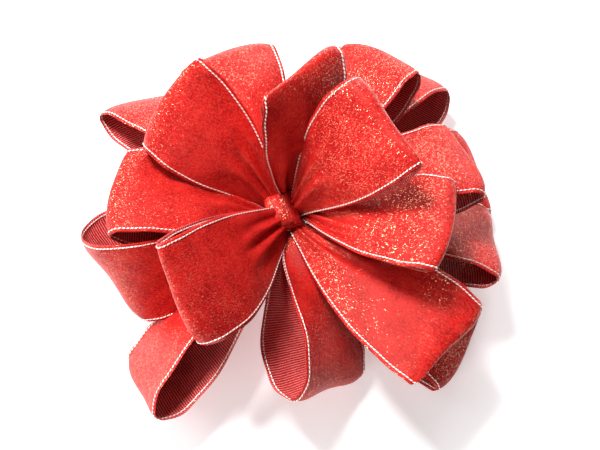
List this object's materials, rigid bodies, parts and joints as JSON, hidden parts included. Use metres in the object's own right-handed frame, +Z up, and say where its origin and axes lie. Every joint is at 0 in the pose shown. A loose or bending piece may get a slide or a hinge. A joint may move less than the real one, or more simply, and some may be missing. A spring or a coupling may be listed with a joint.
{
  "type": "gift bow",
  "caption": "Full pom bow of wide wired-edge ribbon loops gathered on one wire-tied pinch, lying flat with bendable loops and two wire ends to fasten it",
  "frame": {"origin": "on the surface the bow lies on, under the middle of its outline", "axes": "+Z up away from the surface, +Y to the back of the bow, +X to its right"},
  "size_m": [0.2587, 0.254, 0.136],
  "materials": {
    "ribbon": "woven red ribbon with a metallic glint",
    "ribbon_gather": "gathered red ribbon in shade",
    "wire": "plain annealed wire"
  },
  "bodies": {
    "centre": {"pinch_core": "ribbon_gather", "centre_fold": "ribbon", "tie_wire_ring": "wire", "tie_wire_neck": "wire"},
    "lower_loop_back_left": {"lower_loop_back_left": "ribbon"},
    "upper_loop_back_left": {"upper_loop_back_left": "ribbon"},
    "lower_loop_back": {"lower_loop_back": "ribbon"},
    "upper_loop_back": {"upper_loop_back": "ribbon"},
    "middle_loop_back_right": {"middle_loop_back_right": "ribbon"},
    "lower_loop_back_right": {"lower_loop_back_right": "ribbon"},
    "crown_loop_right": {"crown_loop_right": "ribbon"},
    "middle_loop_right": {"middle_loop_right": "ribbon"},
    "lower_loop_right": {"lower_loop_right": "ribbon"},
    "upper_loop_right": {"upper_loop_right": "ribbon"},
    "lower_loop_right_front": {"lower_loop_right_front": "ribbon"},
    "upper_loop_front_right": {"upper_loop_front_right": "ribbon"},
    "lower_loop_front_right": {"lower_loop_front_right": "ribbon"},
    "lower_loop_front": {"lower_loop_front": "ribbon"},
    "upper_loop_front_left": {"upper_loop_front_left": "ribbon"},
    "lower_loop_front_left": {"lower_loop_front_left": "ribbon"},
    "lower_loop_left": {"lower_loop_left": "ribbon"},
    "upper_loop_left": {"upper_loop_left": "ribbon"},
    "tie_wire_tail_back": {"tie_wire_tail_back": "wire"},
    "tie_wire_tail_left": {"tie_wire_tail_left": "wire"}
  },
  "joints": [
    {"name": "lower_loop_back_left_bend", "type": "hinge", "parent": "centre", "child": "lower_loop_back_left", "pos_m": [-0.00255, -0.00547, 0.03913], "axis": [-0.6168, -0.6377, 0.4614], "range_deg": [-1, 4]},
    {"name": "upper_loop_back_left_bend", "type": "hinge", "parent": "centre", "child": "upper_loop_back_left", "pos_m": [-0.00255, -0.00547, 0.03913], "axis": [-0.6891, -0.3654, -0.6258], "range_deg": [-8, 6]},
    {"name": "lower_loop_back_bend", "type": "hinge", "parent": "centre", "child": "lower_loop_back", "pos_m": [-0.00255, -0.00547, 0.03913], "axis": [-0.9117, -0.3519, 0.2122], "range_deg": [-10, 1]},
    {"name": "upper_loop_back_bend", "type": "hinge", "parent": "centre", "child": "upper_loop_back", "pos_m": [-0.00255, -0.00547, 0.03913], "axis": [-0.6556, -0.6221, 0.428], "range_deg": [-3, 8]},
    {"name": "middle_loop_back_right_bend", "type": "hinge", "parent": "centre", "child": "middle_loop_back_right", "pos_m": [-0.00255, -0.00547, 0.03913], "axis": [-0.7242, 0.5283, -0.4431], "range_deg": [-4, 1.5]},
    {"name": "lower_loop_back_right_bend", "type": "hinge", "parent": "centre", "child": "lower_loop_back_right", "pos_m": [-0.00255, -0.00547, 0.03913], "axis": [-0.8069, 0.5469, -0.2234], "range_deg": [-1.5, 12]},
    {"name": "crown_loop_right_bend", "type": "hinge", "parent": "centre", "child": "crown_loop_right", "pos_m": [-0.00255, -0.00547, 0.03913], "axis": [-0.502, 0.8582, 0.107], "range_deg": [-8, 8]},
    {"name": "middle_loop_right_bend", "type": "hinge", "parent": "centre", "child": "middle_loop_right", "pos_m": [-0.00255, -0.00547, 0.03913], "axis": [-0.1069, 0.9353, -0.3373], "range_deg": [-3, 3]},
    {"name": "lower_loop_right_bend", "type": "hinge", "parent": "centre", "child": "lower_loop_right", "pos_m": [-0.00255, -0.00547, 0.03913], "axis": [-0.3604, 0.9006, -0.243], "range_deg": [-5, 12]},
    {"name": "upper_loop_right_bend", "type": "hinge", "parent": "centre", "child": "upper_loop_right", "pos_m": [-0.00255, -0.00547, 0.03913], "axis": [0.4177, 0.8949, -0.1571], "range_deg": [-4, 4]},
    {"name": "lower_loop_right_front_bend", "type": "hinge", "parent": "centre", "child": "lower_loop_right_front", "pos_m": [-0.00255, -0.00547, 0.03913], "axis": [0.1312, 0.8239, -0.5513], "range_deg": [-3, 3]},
    {"name": "upper_loop_front_right_bend", "type": "hinge", "parent": "centre", "child": "upper_loop_front_right", "pos_m": [-0.00255, -0.00547, 0.03913], "axis": [0.7411, 0.6626, -0.1083], "range_deg": [-4, 6]},
    {"name": "lower_loop_front_right_bend", "type": "hinge", "parent": "centre", "child": "lower_loop_front_right", "pos_m": [-0.00255, -0.00547, 0.03913], "axis": [0.5539, 0.8119, -0.1846], "range_deg": [-5, 12]},
    {"name": "lower_loop_front_bend", "type": "hinge", "parent": "centre", "child": "lower_loop_front", "pos_m": [-0.00255, -0.00547, 0.03913], "axis": [0.6712, 0.2001, -0.7138], "range_deg": [-3, 4]},
    {"name": "upper_loop_front_left_bend", "type": "hinge", "parent": "centre", "child": "upper_loop_front_left", "pos_m": [-0.00255, -0.00547, 0.03913], "axis": [0.3471, -0.7502, -0.5628], "range_deg": [-8, 6]},
    {"name": "lower_loop_front_left_bend", "type": "hinge", "parent": "centre", "child": "lower_loop_front_left", "pos_m": [-0.00255, -0.00547, 0.03913], "axis": [0.4998, -0.5814, 0.642], "range_deg": [-1, 10]},
    {"name": "lower_loop_left_bend", "type": "hinge", "parent": "centre", "child": "lower_loop_left", "pos_m": [-0.00255, -0.00547, 0.03913], "axis": [0.3111, -0.7065, -0.6357], "range_deg": [-4, 5]},
    {"name": "upper_loop_left_bend", "type": "hinge", "parent": "centre", "child": "upper_loop_left", "pos_m": [-0.00255, -0.00547, 0.03913], "axis": [0.0136, -0.981, 0.1937], "range_deg": [-1, 1.5]},
    {"name": "tie_wire_tail_back_bend", "type": "hinge", "parent": "centre", "child": "tie_wire_tail_back", "pos_m": [-0.00243, -0.00447, 0.02043], "axis": [-0.9925, 0.1219, 0], "range_deg": [-8, 10]},
    {"name": "tie_wire_tail_left_bend", "type": "hinge", "parent": "centre", "child": "tie_wire_tail_left", "pos_m": [-0.00353, -0.00526, 0.02043], "axis": [-0.2079, -0.9781, 0], "range_deg": [-8, 10]}
  ]
}
